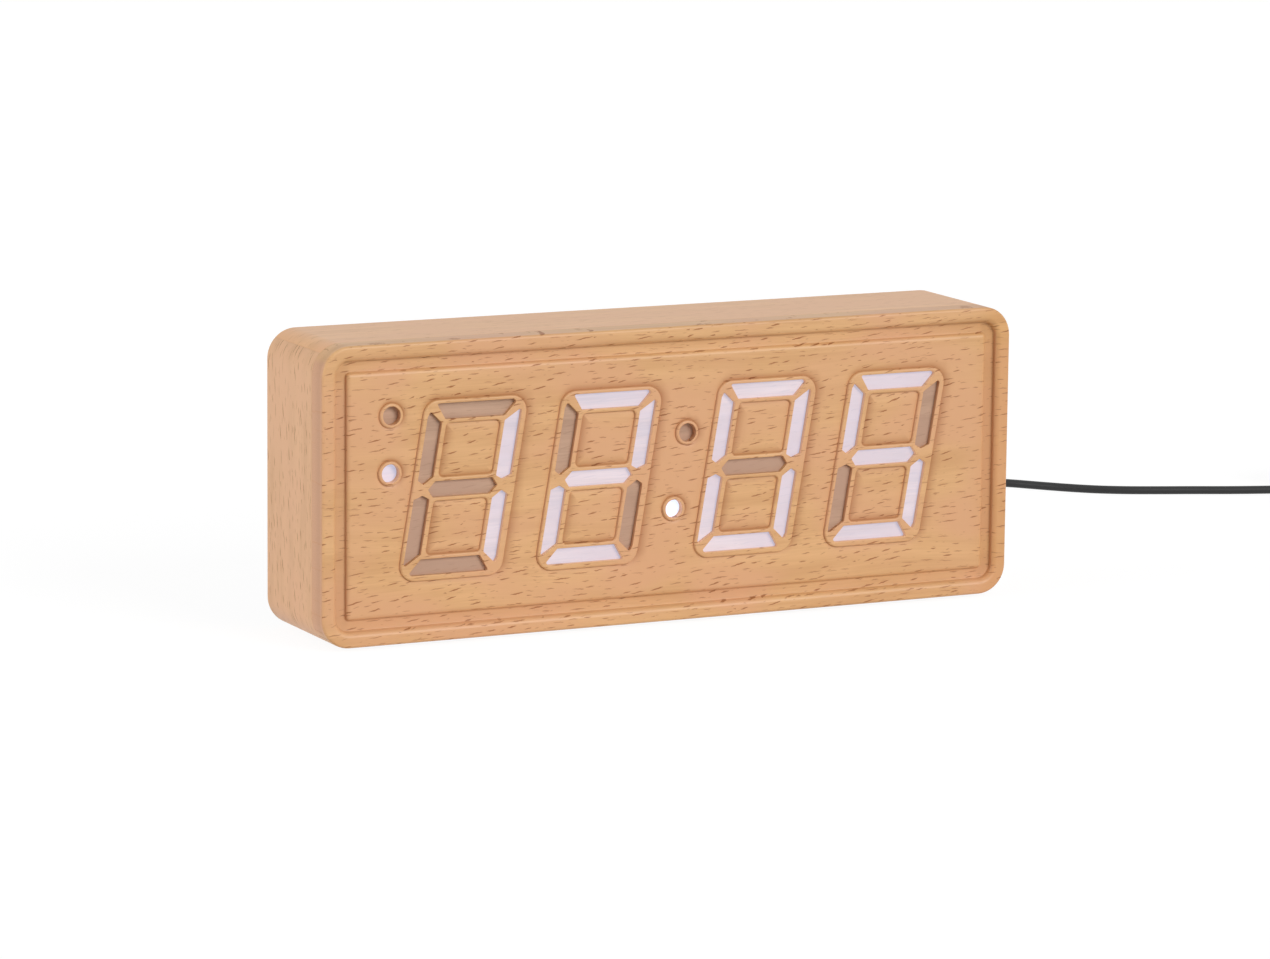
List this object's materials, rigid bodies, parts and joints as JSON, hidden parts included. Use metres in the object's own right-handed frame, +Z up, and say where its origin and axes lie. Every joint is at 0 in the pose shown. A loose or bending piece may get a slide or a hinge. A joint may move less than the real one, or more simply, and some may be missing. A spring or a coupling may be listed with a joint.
{
  "type": "wooden alarm clock",
  "caption": "Free-standing digital alarm clock in a rounded beech case, with slanted segment digits carved through the front board, rear keys and a thin low-voltage cord.",
  "frame": {"origin": "centre of the clock's base, on the surface that its feet stand on; the cord and its plugs aren't counted", "axes": "+X to the right seen from the front, +Y to the back, +Z up"},
  "size_m": [0.4447, 0.1696, 0.081],
  "materials": {
    "beech_case": "satin oiled beech",
    "beech_front": "satin oiled beech, carved",
    "glue_block_wood": "raw softwood",
    "veneer": "thin translucent veneer",
    "white_plastic": "moulded white",
    "circuit_board": "green solder mask",
    "led_resin": "phosphor resin",
    "screw_steel": "zinc plated",
    "header_plastic": "moulded black",
    "chip_resin": "moulded epoxy",
    "can_metal": "nickel plated",
    "contact_metal": "gold plated",
    "switch_plastic": "moulded dark grey",
    "black_plastic": "fine matt",
    "cover_plastic": "fine spark-eroded texture",
    "foot_rubber": "matt",
    "plug_plastic": "soft moulded PVC",
    "cord_jacket": "smooth PVC jacket",
    "tie_plastic": "flat tie"
  },
  "bodies": {
    "clock": {"case_top": "beech_case", "case_bottom": "beech_case", "case_left": "beech_case", "case_right": "beech_case", "block_top_left": "glue_block_wood", "block_top_right": "glue_block_wood", "block_bottom_left": "glue_block_wood", "block_bottom_right": "glue_block_wood", "front_board": "beech_front", "window_veneer": "veneer", "light_box": "white_plastic", "display_board": "circuit_board", "segment_leds": "led_resin", "light_box_screws": "screw_steel", "pin_header": "header_plastic", "pin_socket": "header_plastic", "main_board": "circuit_board", "controller_chip": "chip_resin", "driver_chips": "chip_resin", "crystal": "can_metal", "buzzer": "header_plastic", "dc_jack": "header_plastic", "jack_pin": "contact_metal", "switch_set": "switch_plastic", "switch_up": "switch_plastic", "switch_down": "switch_plastic", "alarm_switch": "can_metal", "cell_holder": "switch_plastic", "coin_cell": "can_metal", "cell_contacts": "contact_metal", "board_screws": "screw_steel", "rear_cover": "cover_plastic", "cover_screws": "screw_steel", "foot_front_left": "foot_rubber", "foot_front_right": "foot_rubber", "foot_back_left": "foot_rubber", "foot_back_right": "foot_rubber", "plug_barrel": "can_metal", "plug_grip": "plug_plastic", "strain_relief": "plug_plastic", "cord_run": "cord_jacket", "cord_coil": "cord_jacket", "cord_tail": "cord_jacket", "cord_tie": "tie_plastic", "usb_grip": "plug_plastic", "usb_shell": "can_metal", "usb_tongue": "white_plastic"},
    "set_key": {"button_set": "black_plastic", "stem_set": "black_plastic"},
    "up_key": {"button_up": "black_plastic", "stem_up": "black_plastic"},
    "down_key": {"button_down": "black_plastic", "stem_down": "black_plastic"},
    "alarm_slide": {"alarm_slider": "black_plastic", "alarm_lever": "black_plastic"},
    "battery_hatch": {"battery_door": "cover_plastic"}
  },
  "joints": [
    {"name": "set_key_press", "type": "slide", "parent": "clock", "child": "set_key", "axis": [0, -1, 0], "range_m": [0, 0.0005], "stiffness_N_per_m": 1500},
    {"name": "up_key_press", "type": "slide", "parent": "clock", "child": "up_key", "axis": [0, -1, 0], "range_m": [0, 0.0005], "stiffness_N_per_m": 1500},
    {"name": "down_key_press", "type": "slide", "parent": "clock", "child": "down_key", "axis": [0, -1, 0], "range_m": [0, 0.0005], "stiffness_N_per_m": 1500},
    {"name": "alarm_slide_travel", "type": "slide", "parent": "clock", "child": "alarm_slide", "axis": [1, 0, 0], "range_m": [0, 0.002]},
    {"name": "battery_hatch_turn", "type": "hinge", "parent": "clock", "child": "battery_hatch", "pos_m": [0.044, 0.018, 0.046], "axis": [0, 1, 0], "range_deg": [0, 40]}
  ]
}
